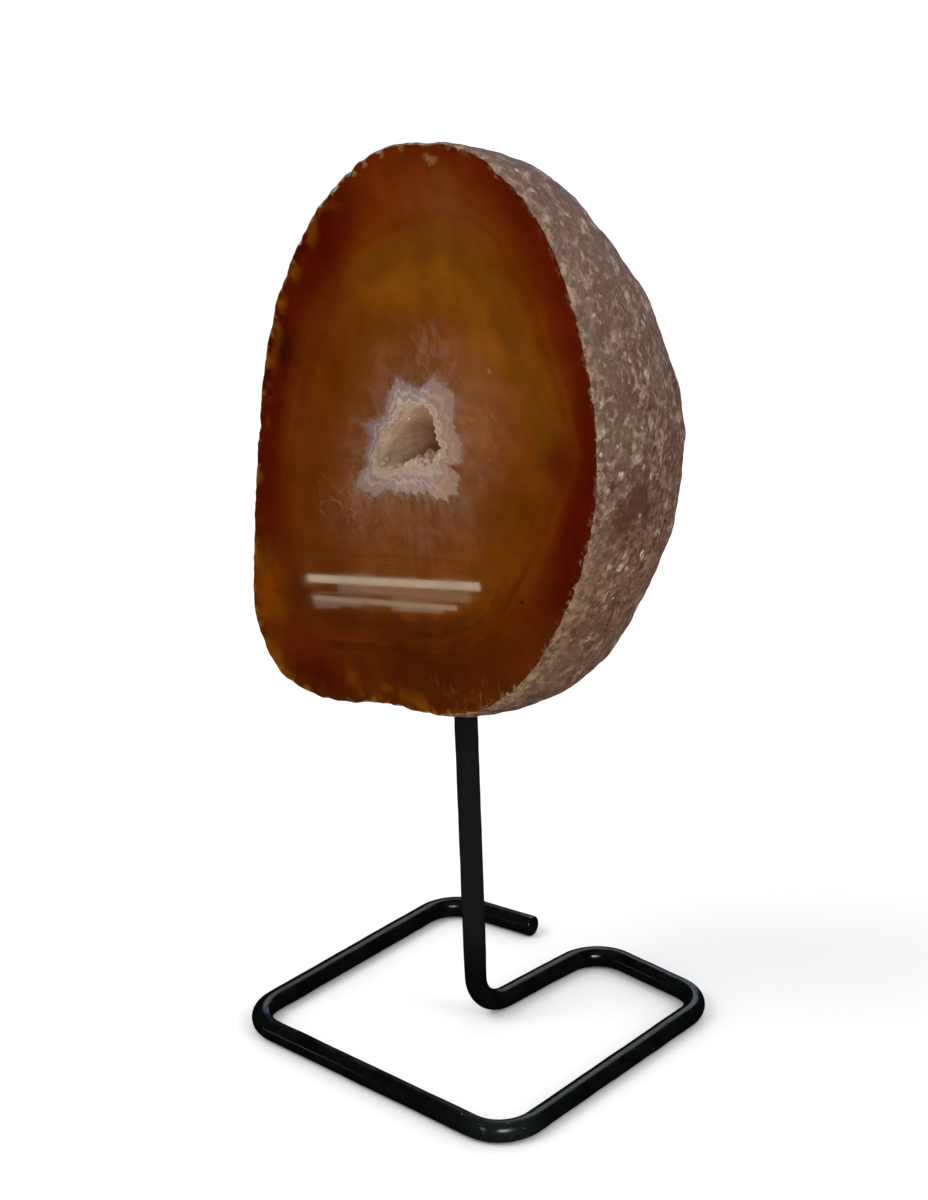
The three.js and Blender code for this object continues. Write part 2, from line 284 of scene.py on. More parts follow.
class Graph:
    """Short hand for one node tree: add nodes, wire them and do sums on their sockets."""

    def __init__(self, tree):
        self.tree = tree

    def add(self, kind, inputs=None, **settings):
        """A new node with its settings set and its inputs fed."""
        made = self.tree.nodes.new(kind)
        for key, value in settings.items():
            setattr(made, key, value)
        for key, value in (inputs or {}).items():
            self.feed(made.inputs[key], value)
        return made

    def feed(self, socket, value):
        """Wire a socket to another socket or a node, or set its own value."""
        if isinstance(value, bpy.types.NodeSocket):
            self.tree.links.new(value, socket)
        elif isinstance(value, bpy.types.Node):
            self.tree.links.new(value.outputs[0], socket)
        else:
            socket.default_value = value

    def calc(self, operation, *values):
        """A Math node's result."""
        made = self.add("ShaderNodeMath", operation=operation)
        for socket, value in zip(made.inputs, values):
            self.feed(socket, value)
        return made.outputs[0]

    def times(self, *values):
        """The product of masks and numbers."""
        total = values[0]
        for value in values[1:]:
            total = self.calc("MULTIPLY", total, value)
        return total

    def vector(self, operation, *values):
        """A Vector Math node's result."""
        made = self.add("ShaderNodeVectorMath", operation=operation)
        for socket, value in zip(made.inputs, values):
            self.feed(socket, value)
        return made.outputs[1 if operation in ("LENGTH", "DISTANCE") else 0]

    def between(self, value, low, high, start=0.0, end=1.0):
        """A smooth step from start, where the value is low, to end, where it is high."""
        made = self.add("ShaderNodeMapRange", interpolation_type="SMOOTHSTEP")
        keys = ("Value", "From Min", "From Max", "To Min", "To Max")
        for key, item in zip(keys, (value, low, high, start, end)):
            self.feed(made.inputs[key], item)
        return made.outputs[0]

    def mix(self, amount, first, second, blend="MIX"):
        """Two colours mixed; each is a socket or three numbers."""
        made = self.add("ShaderNodeMix", data_type="RGBA", blend_type=blend, clamp_factor=True)
        self.feed(made.inputs[0], amount)
        for socket, colour in ((made.inputs[6], first), (made.inputs[7], second)):
            self.feed(socket, (*colour, 1.0) if isinstance(colour, tuple) else colour)
        return made.outputs[2]

    def grey(self, value):
        """A grey of that value."""
        return self.add("ShaderNodeCombineColor", {"Red": value, "Green": value, "Blue": value}).outputs[0]

    def ramp(self, value, stops):
        """A colour ramp with a stop at each place."""
        made = self.add("ShaderNodeValToRGB", {"Fac": value})
        while len(made.color_ramp.elements) < len(stops):
            made.color_ramp.elements.new(1.0)
        for element, (place, colour) in zip(made.color_ramp.elements, stops):
            element.position = place
            element.color = (*colour, 1.0)
        return made.outputs[0]

    def noise(self, place, scale, detail=2.0, roughness=0.5, warp=0.0):
        """A noise texture's value, about 0.5 on average."""
        given = {"Vector": place, "Scale": scale, "Detail": detail}
        given.update({"Roughness": roughness, "Distortion": warp})
        return self.add("ShaderNodeTexNoise", given).outputs[0]

    def split(self, place):
        """The three parts of a place."""
        return self.add("ShaderNodeSeparateXYZ", {"Vector": place}).outputs

    def join(self, **parts):
        """A place from its parts."""
        return self.add("ShaderNodeCombineXYZ", parts).outputs[0]

    def field(self, label):
        """The piece's own values on its points."""
        return self.add("ShaderNodeAttribute", attribute_name=label).outputs["Fac"]


class Paint:
    """A colour that is built up on a graph, layer by layer."""

    def __init__(self, graph, colour):
        self.graph = graph
        self.colour = colour

    def lay(self, colour, *masks, blend="MIX"):
        """Mix another colour in, as strongly as the product of the masks."""
        self.colour = self.graph.mix(self.graph.times(*masks), self.colour, colour, blend)

    def shade(self, value):
        """Make the colour lighter or darker by a value around 1."""
        self.lay(self.graph.grey(value), 1.0, blend="MULTIPLY")


def group(name, inputs, outputs):
    """An empty shader node group with named sockets; returns its graph, its inputs and its output node."""
    tree = bpy.data.node_groups.new(name, "ShaderNodeTree")
    for label, kind, value in inputs:
        socket = tree.interface.new_socket(label, in_out="INPUT", socket_type="NodeSocket" + kind)
        if value is not None:
            socket.default_value = value
    for label, kind in outputs:
        tree.interface.new_socket(label, in_out="OUTPUT", socket_type="NodeSocket" + kind)
    graph = Graph(tree)
    return graph, graph.add("NodeGroupInput").outputs, graph.add("NodeGroupOutput")


def finish(name):
    """A material whose tree has only the Principled shader; returns it, its graph and the shader."""
    material = bpy.data.materials.new(name)
    material.use_nodes = True
    material.node_tree.nodes.clear()
    graph = Graph(material.node_tree)
    shader = graph.add("ShaderNodeBsdfPrincipled")
    graph.add("ShaderNodeOutputMaterial", {"Surface": shader.outputs[0]})
    return material, graph, shader


def place_group(graph, tree, inputs):
    """Put a group into a material with its own values; returns the group's outputs."""
    made = graph.add("ShaderNodeGroup", node_tree=tree)
    for key, value in inputs.items():
        graph.feed(made.inputs[key], value)
    return made.outputs


def millimetres(graph, centre=(0.0, 0.0, 0.0)):
    """The piece's own coordinates in millimetres, counted from a point of the drawing."""
    place = graph.add("ShaderNodeTexCoord").outputs["Object"]
    start = tuple(-float(value) for value in np.asarray(centre) + PLACE)
    return graph.vector("MULTIPLY_ADD", place, (1000, 1000, 1000), start)


# Effects that several finishes share


def make_fine_grain():
    """Two sizes of noise, the smaller one weaker: a height for Bump and a value for colour."""
    graph, given, out = group(
        "fine_grain",
        [("Place", "Vector", None), ("Size", "Float", 1.0), ("Warp", "Float", 0.0)],
        [("Height", "Float"), ("Tone", "Float")],
    )
    scale = graph.calc("DIVIDE", 1.0, given["Size"])
    coarse = graph.noise(given["Place"], scale, 3.0, 0.5, given["Warp"])
    fine = graph.noise(given["Place"], graph.times(scale, 4.3), 4.0)
    both = graph.calc("MULTIPLY_ADD", fine, 0.35, graph.times(coarse, 0.65))
    graph.feed(out.inputs["Height"], both)
    graph.feed(out.inputs["Tone"], graph.between(both, 0.36, 0.64))
    return graph.tree


def make_soft_patch():
    """An oval patch with a wandering soft edge: 1 at its middle, 0 at its rim; sizes are in millimetres."""
    graph, given, out = group(
        "soft_patch",
        [
            ("Place", "Vector", None),
            ("Middle", "Vector", None),
            ("Reach", "Vector", (5.0, 5.0, 5.0)),
            ("Wander", "Float", 0.4),
            ("Grain", "Float", 3.0),
        ],
        [("Mask", "Float")],
    )
    scaled = graph.vector("DIVIDE", graph.vector("SUBTRACT", given["Place"], given["Middle"]), given["Reach"])
    noise = graph.noise(given["Place"], graph.calc("DIVIDE", 1.0, given["Grain"]), 3.0)
    ragged = graph.times(graph.calc("SUBTRACT", noise, 0.5), given["Wander"])
    off = graph.calc("MULTIPLY_ADD", ragged, 2.0, graph.vector("LENGTH", scaled))
    graph.feed(out.inputs["Mask"], graph.between(off, 1.0, 0.0))
    return graph.tree


def make_specks():
    """Small round spots, each at a random place of a cell; only a share of the cells has one."""
    graph, given, out = group(
        "specks",
        [
            ("Place", "Vector", None),
            ("Spacing", "Float", 3.0),
            ("Radius", "Float", 0.1),
            ("Share", "Float", 0.5),
        ],
        [("Mask", "Float")],
    )
    scale = graph.calc("DIVIDE", 1.0, given["Spacing"])
    cells = graph.add("ShaderNodeTexVoronoi", {"Vector": given["Place"], "Scale": scale})
    reach = graph.times(cells.outputs["Distance"], given["Spacing"])
    chance = graph.add("ShaderNodeSeparateColor", {"Color": cells.outputs["Color"]})
    size = graph.times(given["Radius"], graph.calc("MULTIPLY_ADD", chance.outputs[1], 0.9, 0.35))
    spot = graph.calc("SUBTRACT", 1.0, graph.between(reach, graph.times(size, 0.5), size))
    kept = graph.calc("LESS_THAN", chance.outputs[0], given["Share"])
    graph.feed(out.inputs["Mask"], graph.times(spot, kept))
    return graph.tree


def make_chip_flecks():
    """Short curved chips: thin slices of a warped noise near its middle value, broken up by another."""
    graph, given, out = group(
        "chip_flecks",
        [
            ("Place", "Vector", None),
            ("Size", "Float", 1.0),
            ("Width", "Float", 0.05),
            ("Share", "Float", 0.5),
        ],
        [("Mask", "Float")],
    )
    scale = graph.calc("DIVIDE", 1.0, given["Size"])
    lines = graph.noise(given["Place"], scale, 1.5, 0.5, 0.8)
    off = graph.calc("ABSOLUTE", graph.calc("SUBTRACT", lines, 0.5))
    outside = graph.between(off, graph.times(given["Width"], 0.15), given["Width"])
    thin = graph.calc("SUBTRACT", 1.0, outside)
    moved = graph.vector("ADD", given["Place"], (31.0, 17.0, 5.0))
    breaks = graph.noise(moved, graph.times(scale, 1.3), 2.0)
    edge = graph.calc("SUBTRACT", 0.72, graph.times(given["Share"], 0.4))
    kept = graph.between(breaks, edge, graph.calc("ADD", edge, 0.12))
    graph.feed(out.inputs["Mask"], graph.times(thin, kept))
    return graph.tree


FINE_GRAIN = make_fine_grain()
SOFT_PATCH = make_soft_patch()
SPECKS = make_specks()
CHIP_FLECKS = make_chip_flecks()


def soft_patch(graph, place, middle, reach, wander, grain):
    """The mask of one soft patch."""
    given = {"Place": place, "Middle": middle, "Reach": reach, "Wander": wander, "Grain": grain}
    return place_group(graph, SOFT_PATCH, given)["Mask"]


# The polished face

FACE_COLOURS = [
    (0.0, (0.070, 0.0062, 0.0002)),
    (0.12, (0.078, 0.0070, 0.0002)),
    (0.24, (0.092, 0.0110, 0.0003)),
    (0.36, (0.104, 0.0180, 0.0004)),
    (0.50, (0.118, 0.0250, 0.0006)),
    (0.58, (0.126, 0.0290, 0.0008)),
    (0.67, (0.132, 0.0340, 0.0012)),
    (0.75, (0.124, 0.0310, 0.0014)),
    (0.83, (0.124, 0.0325, 0.0032)),
    (0.91, (0.128, 0.0370, 0.0064)),
    (1.0, (0.126, 0.0390, 0.0095)),
]
LIT_SPOTS = [
    ((-10.3, -28.6), (2.0, 1.7)),
    ((-4.9, -28.4), (1.6, 0.8)),
    ((1.2, -28.9), (1.2, 0.7)),
    ((-21.6, -29.0), (1.0, 1.2)),
]


class FacePaint(Paint):
    """The polished face's colour, with masks in millimetres from its middle and along its bands.

    The bands run from the rind (0) to the crystals (1); the bent ones are the same with noise.
    """

    def __init__(self, graph):
        self.place = millimetres(graph, (0, FACE_Y, FACE_HEIGHT))
        parts = graph.split(self.place)
        self.across = parts[0]
        self.up = parts[2]
        self.bands = graph.field("bands")
        slow = graph.calc("SUBTRACT", graph.noise(self.place, 0.11, 2.0), 0.5)
        middling = graph.calc("SUBTRACT", graph.noise(self.place, 0.5, 3.0, 0.55), 0.5)
        nearly = graph.calc("MULTIPLY_ADD", middling, 0.05, self.bands)
        self.bent = graph.calc("MULTIPLY_ADD", slow, 0.14, nearly)
        super().__init__(graph, graph.ramp(self.bent, FACE_COLOURS))

    def side(self, start, end):
        """0 to 1 from one distance across to another."""
        return self.graph.between(self.across, start, end)

    def rise(self, start, end):
        """0 to 1 from one height to another."""
        return self.graph.between(self.up, start, end)

    def band(self, start, end):
        """0 to 1 from one band to another."""
        return self.graph.between(self.bands, start, end)

    def bent_band(self, start, end):
        """0 to 1 from one bent band to another."""
        return self.graph.between(self.bent, start, end)

    def line_at(self, level, width):
        """1 along one bent band, 0 at that width from it."""
        off = self.graph.calc("ABSOLUTE", self.graph.calc("SUBTRACT", self.bent, level))
        return self.graph.between(off, width, 0.0)

    def patch(self, middle, reach, wander=0.4, grain=4.0):
        """A soft oval patch on the face."""
        spot, span = (middle[0], 0.0, middle[1]), (reach[0], 50.0, reach[1])
        return soft_patch(self.graph, self.place, spot, span, wander, grain)

    def stretched_noise(self, stretch, detail, roughness, warp):
        """Noise that is finer along one direction than along another."""
        stretched = self.graph.vector("MULTIPLY", self.place, stretch)
        return self.graph.noise(stretched, 1.0, detail, roughness, warp)


def paint_broad_tones(face):
    """Broad differences from side to side."""
    patch = face.patch
    face.lay((0.124, 0.0210, 0.0014), patch((1.0, 27.0), (16.0, 9.0)), 0.75)
    face.lay((0.130, 0.0420, 0.0110), patch((6.3, 25.0), (8.0, 6.5), 0.5), 0.5)
    face.lay((0.190, 0.0640, 0.0180), patch((9.6, 6.8), (7.6, 11.5), 0.35), 0.9)
    face.lay((0.056, 0.0032, 0.0002), face.side(8.0, 21.0), face.band(0.44, 0.1), face.rise(16.0, -1.0), 0.9)
    face.lay((0.074, 0.0033, 0.0002), patch((-11.5, 20.5), (7.5, 8.5)), 0.75)
    face.lay((0.60, 0.38, 0.50), face.side(-3.0, -11.0), face.bent_band(0.99, 0.76), 0.62, blend="MULTIPLY")
    face.lay((0.066, 0.0054, 0.0002), patch((-20.8, -11.0), (4.2, 9.0)), 0.7)
    lower = face.rise(-10.0, -20.0)
    face.lay((0.063, 0.0120, 0.0004), lower, face.bent_band(0.82, 0.64), 0.88)
    face.lay((0.078, 0.0130, 0.0003), lower, face.side(6.0, 16.0), face.bent_band(0.60, 0.40), 0.6)
    face.lay((0.086, 0.0100, 0.0005), patch((-16.0, -27.0), (10.0, 5.5), 0.5), 0.75)
    face.lay((0.150, 0.0330, 0.0007), patch((-22.2, -21.5), (4.4, 7.5), 0.6), 0.9)
    face.lay((0.028, 0.0026, 0.0001), patch((-17.4, 7.2), (3.0, 4.8), 0.8, 3.0), 0.85)
    face.lay((0.110, 0.0260, 0.0055), patch((-15.5, -1.0), (3.4, 8.0), 0.6), 0.35)
    face.lay((0.110, 0.0280, 0.0025), patch((19.2, 9.5), (4.0, 6.5), 0.4), 0.6)
    face.lay((0.044, 0.0082, 0.0004), patch((1.0, -24.0), (13.5, 5.8), 0.4), 0.78)


def paint_golden_layers(face):
    """Golden layers above and right of the core, dark ones that run down from the pinch at the right."""
    graph, patch = face.graph, face.patch
    upper_right = graph.between(graph.calc("ADD", face.across, graph.times(face.up, 0.9)), 4.0, 16.0)
    lens = graph.times(face.bent_band(0.51, 0.56), face.bent_band(0.72, 0.66), upper_right)
    face.lay((0.126, 0.0380, 0.0022), lens, face.rise(-2.0, 5.0), 0.8)
    face.lay((0.172, 0.0530, 0.0026), face.line_at(0.715, 0.10), upper_right, face.rise(8.0, 13.0), 0.7)
    face.lay((0.72, 0.66, 0.60), face.line_at(0.625, 0.025), upper_right, 0.05, blend="MULTIPLY")
    face.lay((0.76, 0.62, 0.50), face.line_at(0.505, 0.085), upper_right, 0.5, blend="MULTIPLY")
    face.lay((0.070, 0.0078, 0.0002), patch((20.4, 2.6), (3.8, 5.5), 0.4), 0.9)
    face.lay((0.136, 0.0370, 0.0020), face.line_at(0.535, 0.03), upper_right, face.rise(3.0, 10.0), 0.25)
    running_down = patch((15.0, -9.0), (9.0, 13.0), 0.2)
    face.lay((0.48, 0.38, 0.30), face.line_at(0.47, 0.05), running_down, 0.9, blend="MULTIPLY")
    face.lay((0.086, 0.0195, 0.0005), patch((15.6, -5.6), (5.4, 9.4), 0.3), 0.85)
    face.lay((0.85, 0.83, 0.78), patch((17.6, 4.2), (4.4, 5.4), 0.3), 0.8, blend="MULTIPLY")


def paint_thin_layers(face):
    """Thin uneven layers, clearest under the core, then level ones on a shelf, then cloudiness all over."""
    graph = face.graph
    drifting = graph.join(
        X=graph.times(face.bent, 17.0), Y=graph.times(face.across, 0.06), Z=graph.times(face.up, 0.06)
    )
    layers = graph.calc("SUBTRACT", graph.noise(drifting, 1.0, 1.5, 0.45), 0.5)
    middle_zone = graph.times(face.bent_band(0.30, 0.50), face.bent_band(0.80, 0.66))
    bottom = graph.times(middle_zone, face.rise(-10.0, -20.0), face.side(-19.0, -9.0))
    depth = graph.calc("ADD", bottom, graph.calc("MULTIPLY_ADD", middle_zone, 0.22, 0.12))
    face.shade(graph.calc("ADD", graph.times(layers, depth), 1.0))

    # The shelf rises a little to the right
    level = graph.calc("MULTIPLY_ADD", face.across, -0.19, face.up)
    shelf = graph.times(
        graph.between(level, -10.8, -12.4), graph.between(level, -18.5, -16.5), face.side(-19.0, -14.0)
    )
    even = graph.join(X=graph.times(face.across, 0.04), Z=graph.times(level, 1.5))
    stripes = graph.calc("SUBTRACT", graph.noise(even, 1.0, 1.5, 0.5), 0.5)
    face.shade(graph.calc("ADD", graph.times(stripes, shelf, face.side(13.0, 8.0), 0.8), 1.0))

    face.shade(graph.between(graph.noise(face.place, 0.22, 4.0, 0.6), 0.3, 0.7, 0.86, 1.14))


def paint_feathers(face):
    """Pale feathers that stand out from the crystals, haze round them, curtains and roots below them."""
    graph, patch = face.graph, face.patch
    out_from = graph.vector("SUBTRACT", face.place, (HOLLOW_MIDDLE[0], 0.0, HOLLOW_MIDDLE[1]))
    ray = graph.vector("MULTIPLY", graph.vector("NORMALIZE", out_from), (4.5, 0.0, 4.5))
    along = graph.join(Y=graph.times(graph.vector("LENGTH", out_from), 0.28))
    feathers = graph.between(graph.noise(graph.vector("ADD", ray, along), 1.0, 4.0, 0.6, 0.5), 0.47, 0.72)
    wisps = graph.between(graph.noise(face.place, 0.62, 4.0, 0.55, 1.6), 0.50, 0.70)
    haze = graph.between(graph.noise(face.place, 0.45, 3.0, 0.6, 0.8), 0.40, 0.66)
    face.lay((0.225, 0.112, 0.066), feathers, face.band(0.74, 0.92), patch((3.5, 11.5), (8.0, 7.0), 0.5), 0.9)
    face.lay((0.205, 0.110, 0.075), feathers, face.band(0.84, 0.99), 0.3)
    face.lay((0.210, 0.112, 0.076), haze, face.band(0.82, 0.98), 0.20)
    face.lay((0.250, 0.130, 0.085), wisps, patch((9.5, 3.0), (4.8, 7.0), 0.5), 0.38)
    face.lay((0.200, 0.105, 0.070), wisps, patch((-9.5, -8.5), (6.5, 4.5), 0.8, 2.0), 0.75)
    face.lay((0.190, 0.095, 0.055), wisps, patch((2.0, -8.5), (11.0, 4.5), 0.6, 3.0), 0.15)

    curtains = graph.between(face.stretched_noise((0.72, 1.0, 0.075), 3.0, 0.55, 0.25), 0.46, 0.70)
    face.lay((0.180, 0.080, 0.040), curtains, patch((1.5, -9.0), (13.0, 6.0), 0.4), 0.30)
    roots = graph.between(face.stretched_noise((1.5, 1.0, 0.35), 2.0, 0.5, 0.3), 0.40, 0.60)
    face.lay((0.195, 0.115, 0.072), roots, face.band(0.94, 0.99), face.rise(-2.5, -5.0), 0.36)

    # The crystals' outer edge is soft: their colour reaches out between the feathers
    fringe = graph.between(graph.noise(face.place, 1.6, 3.0, 0.6, 0.8), 0.40, 0.62)
    face.lay((0.200, 0.125, 0.100), fringe, face.band(0.978, 1.0), 0.7)


def paint_lit_rim(face):
    """Light shines through the thin rim in yellow and orange spots."""
    graph, patch = face.graph, face.patch
    lower_left = graph.between(graph.calc("ADD", face.across, graph.times(face.up, 0.35)), 6.0, -8.0)
    glow = graph.between(graph.noise(face.place, 0.30, 2.0, 0.5), 0.46, 0.64)
    face.lay((0.190, 0.0560, 0.0008), face.band(0.15, 0.0), glow, lower_left, 0.62)
    bright = graph.between(graph.noise(face.place, 0.8, 1.5, 0.5), 0.54, 0.66)
    face.lay((0.260, 0.1200, 0.0080), face.band(0.06, 0.0), bright, lower_left, 0.42)
    crest = graph.times(
        face.band(0.06, 0.0), patch((-8.0, 28.0), (16.0, 9.0), 0.3), graph.between(bright, 0.0, 0.6)
    )
    face.lay((0.240, 0.1600, 0.0500), crest, 0.8)
    face.lay((0.240, 0.1350, 0.0500), patch((4.6, 30.4), (1.3, 0.7), 0.9, 0.8), 0.55)
    face.lay((0.038, 0.0030, 0.0002), patch((-15.0, -29.6), (7.5, 3.4), 0.6, 2.0), 0.85)
    for middle, reach in LIT_SPOTS:
        face.lay((0.150, 0.0380, 0.0008), patch(middle, reach, 0.7, 1.2), 0.5)


def paint_chips(face):
    """A scraped place at the bottom, the chipped sawn edge at the right, a dark speck and a pale one."""
    graph, patch = face.graph, face.patch
    lines = graph.vector("MULTIPLY", face.place, (1.0, 1.0, 0.4))
    scraped = graph.between(graph.noise(lines, 1.3, 3.0, 0.6, 0.6), 0.54, 0.66)
    face.lay((0.250, 0.150, 0.090), scraped, patch((7.5, -25.5), (9.0, 3.0), 0.5), face.band(0.32, 0.1), 0.2)
    at_right = face.side(3.0, 9.0)
    chips = graph.between(graph.noise(face.place, 0.75, 4.0, 0.6), 0.50, 0.62)
    face.lay((0.120, 0.0600, 0.0390), chips, face.band(0.055, 0.0), at_right, 0.75)
    cream = graph.between(graph.noise(face.place, 1.3, 3.0, 0.6), 0.56, 0.66)
    face.lay((0.270, 0.2000, 0.1200), cream, face.band(0.04, 0.0), at_right, 0.7)
    face.lay((0.012, 0.0030, 0.0006), patch((14.8, -13.5), (0.42, 0.34), 0.2, 1.0), 0.9)
    face.lay((0.300, 0.1500, 0.0400), patch((11.4, 10.2), (0.45, 0.40), 0.4, 1.0), 0.6)


def make_polished_agate():
    """The face: colours that run with the bands from the rind (0) to the crystals (1), under a gloss."""
    material, graph, shader = finish("polished_agate")
    face = FacePaint(graph)
    paint_broad_tones(face)
    paint_golden_layers(face)
    paint_thin_layers(face)
    paint_feathers(face)
    paint_lit_rim(face)
    paint_chips(face)
    graph.feed(shader.inputs["Base Color"], face.colour)
    smudge = graph.between(graph.noise(face.place, 0.2, 2.0), 0.35, 0.7, 0.03, 0.05)
    graph.feed(shader.inputs["Roughness"], smudge)
    shader.inputs["IOR"].default_value = 1.54
    return material


# The other finishes


def make_rind():
    """The rough back: purple-brown with curled pale chips and glints, cream where it meets the sawn edge."""
    material, graph, shader = finish("rind")
    place = millimetres(graph, (0, FACE_Y, FACE_HEIGHT))
    up = graph.split(place)[2]
    behind = graph.field("behind")
    grain = place_group(graph, FINE_GRAIN, {"Place": place, "Size": 1.2, "Warp": 1.0})
    rind = Paint(graph, graph.mix(grain["Tone"], (0.074, 0.0240, 0.0145), (0.180, 0.0960, 0.0680)))

    # Broad tones, with painted light that makes the top lighter and painted shade that makes the bottom
    # darker
    slow = graph.between(graph.noise(place, 0.18, 3.0, 0.6), 0.40, 0.60)
    rind.lay((0.122, 0.0540, 0.0360), slow, 0.5)
    elsewhere = graph.vector("ADD", place, (9.0, 4.0, 31.0))
    olive = graph.between(graph.noise(elsewhere, 0.13, 2.0), 0.46, 0.62)
    rind.lay((0.140, 0.0900, 0.0540), olive, 0.5)
    # Painted light: lighter towards the top, as if lit from above
    rind.lay((0.172, 0.1080, 0.0840), graph.between(up, 2.0, 24.0), 0.45)
    # Painted shade: darker towards the bottom
    rind.lay((0.095, 0.0540, 0.0300), graph.between(up, -14.0, -28.0), 0.3)
    red = soft_patch(graph, place, (24.8, 5.5, -2.0), (6.5, 6.5, 6.8), 0.7, 3.0)
    rind.lay((0.080, 0.0230, 0.0115), red, 0.85)

    # Pale curled chips, fewer on the red patch and low down
    small = place_group(graph, CHIP_FLECKS, {"Place": place, "Size": 1.05, "Width": 0.25, "Share": 0.52})
    large = place_group(graph, CHIP_FLECKS, {"Place": place, "Size": 2.0, "Width": 0.19, "Share": 0.55})
    flecks = graph.calc("MAXIMUM", graph.times(small["Mask"], 0.7), large["Mask"])
    patchy = graph.between(graph.noise(place, 0.34, 3.0, 0.6), 0.36, 0.60, 0.45, 1.0)
    spotty = graph.between(graph.noise(place, 0.9, 2.0, 0.5), 0.36, 0.62, 0.3, 1.0)
    off_red = graph.calc("MULTIPLY_ADD", red, -0.8, 1.0)
    fewer_below = graph.between(up, 6.0, -8.0, 1.0, 0.66)
    flecks = graph.times(flecks, patchy, spotty, off_red, fewer_below)
    rind.lay((0.370, 0.2650, 0.1950), flecks)

    # Glints with bitten edges
    glints = place_group(graph, SPECKS, {"Place": place, "Spacing": 1.9, "Radius": 0.60, "Share": 0.50})
    glints = graph.times(glints["Mask"], graph.between(graph.noise(place, 1.9, 2.0, 0.6), 0.38, 0.58))
    rind.lay((0.50, 0.43, 0.34), glints, 0.85)

    # Cream chips behind the sawn edge, heaped where it runs low
    edge_chips = graph.between(graph.noise(place, 1.3, 3.0, 0.6), 0.50, 0.60)
    rind.lay((0.36, 0.260, 0.160), graph.between(behind, 1.9, 0.2), edge_chips, 0.52)
    heaped_chips = graph.between(graph.noise(place, 0.8, 4.0, 0.65), 0.46, 0.60)
    heap = graph.times(graph.between(up, -4.0, -13.0), graph.between(behind, 3.8, 0.6), heaped_chips)
    rind.lay((0.280, 0.2050, 0.1260), heap, 0.6)

    # Cooler at the top, deeper on the far side, warmer below
    rind.lay((0.90, 0.83, 0.85), graph.between(up, 25.0, 31.0), blend="MULTIPLY")
    far_side = soft_patch(graph, place, (23.6, 14.0, 3.0), (7.0, 6.0, 6.5), 0.5, 3.0)
    rind.lay((0.92, 0.82, 0.77), far_side, blend="MULTIPLY")
    rind.lay((1.03, 0.90, 0.74), graph.between(up, 4.0, -14.0), blend="MULTIPLY")

    graph.feed(shader.inputs["Base Color"], rind.colour)
    graph.feed(shader.inputs["Roughness"], graph.between(glints, 0.0, 1.0, 0.62, 0.3))
    shader.inputs["Specular IOR Level"].default_value = 0.2
    height = graph.calc("MULTIPLY_ADD", graph.calc("MAXIMUM", flecks, glints), 0.7, grain["Height"])
    bump = graph.add("ShaderNodeBump", {"Height": height, "Strength": 0.6, "Distance": 0.0005})
    graph.feed(shader.inputs["Normal"], bump.outputs[0])
    return material


QUARTZ_COLOURS = [
    (0.0, (0.200, 0.128, 0.112)),
    (0.07, (0.215, 0.145, 0.135)),
    (0.16, (0.220, 0.150, 0.140)),
    (0.20, (0.345, 0.245, 0.208)),
    (0.235, (0.335, 0.236, 0.198)),
    (0.27, (0.235, 0.162, 0.138)),
    (0.33, (0.245, 0.172, 0.144)),
    (0.37, (0.385, 0.290, 0.240)),
    (0.40, (0.375, 0.280, 0.230)),
    (0.43, (0.275, 0.200, 0.160)),
    (0.47, (0.330, 0.245, 0.190)),
    (0.52, (0.500, 0.345, 0.245)),
    (0.60, (0.640, 0.450, 0.310)),
    (0.80, (0.620, 0.390, 0.240)),
    (1.0, (0.640, 0.400, 0.250)),
]


def make_quartz():
    """The crystals: lilac grey zigzag bands from the outer edge (1) to the hollow (2), tan inside it (3)."""
    material, graph, shader = finish("quartz")
    place = millimetres(graph, (HOLLOW_MIDDLE[0], FACE_Y, FACE_HEIGHT + HOLLOW_MIDDLE[1]))
    parts = graph.split(place)
    across, up = parts[0], parts[2]
    bands = graph.field("bands")
    wander = graph.calc("SUBTRACT", graph.noise(place, 0.9, 3.0, 0.6), 0.5)
    bent = graph.calc("MULTIPLY_ADD", wander, 0.5, bands)
    share = graph.times(graph.calc("SUBTRACT", bent, 1.0), 0.5)
    quartz = Paint(graph, graph.ramp(share, QUARTZ_COLOURS))

    # Tan lip at the right, greyer one at the left, cream one below with a paler outside
    quartz.lay((0.262, 0.150, 0.090), graph.between(across, 2.0, 4.6), graph.between(bands, 2.0, 1.6), 0.62)
    left_lip = graph.times(graph.between(across, -2.0, -4.5), graph.between(bands, 2.05, 1.95))
    quartz.lay((0.76, 0.73, 0.72), left_lip, blend="MULTIPLY")
    quartz.lay((0.318, 0.228, 0.158), graph.between(up, -1.0, -2.6), graph.between(bands, 1.45, 1.8), 0.7)
    outside_below = graph.times(graph.between(up, -3.2, -4.8), graph.between(bands, 1.5, 1.25))
    quartz.lay((1.26, 1.30, 1.18), outside_below, blend="MULTIPLY")

    # Inside the hollow: painted light makes the left wall pale, painted shade makes it deep brown low down at
    # the right
    lit_left_wall = graph.times(graph.between(bands, 1.98, 2.12), graph.between(across, -3.6, -4.4))
    quartz.lay((0.680, 0.510, 0.360), lit_left_wall, 0.25)
    # Painted shade in the deepest part of the hollow, low down at the right
    deep = graph.times(graph.between(bands, 2.12, 2.35), graph.between(across, -4.6, -1.4))
    quartz.lay((0.235, 0.070, 0.028), deep, graph.between(up, 2.0, -0.4), 0.97)
    quartz.shade(graph.between(graph.noise(place, 1.4, 3.0), 0.3, 0.7, 0.90, 1.08))

    # The outer edge sinks into the agate here and there
    sunk = graph.between(graph.noise(place, 1.6, 3.0, 0.6), 0.62, 0.40)
    quartz.lay((0.150, 0.070, 0.040), graph.between(bands, 1.07, 1.0), sunk, 0.7)

    graph.feed(shader.inputs["Base Color"], quartz.colour)
    graph.feed(shader.inputs["Roughness"], graph.between(bands, 1.95, 2.1, 0.05, 0.8))
    shader.inputs["IOR"].default_value = 1.54
    return material


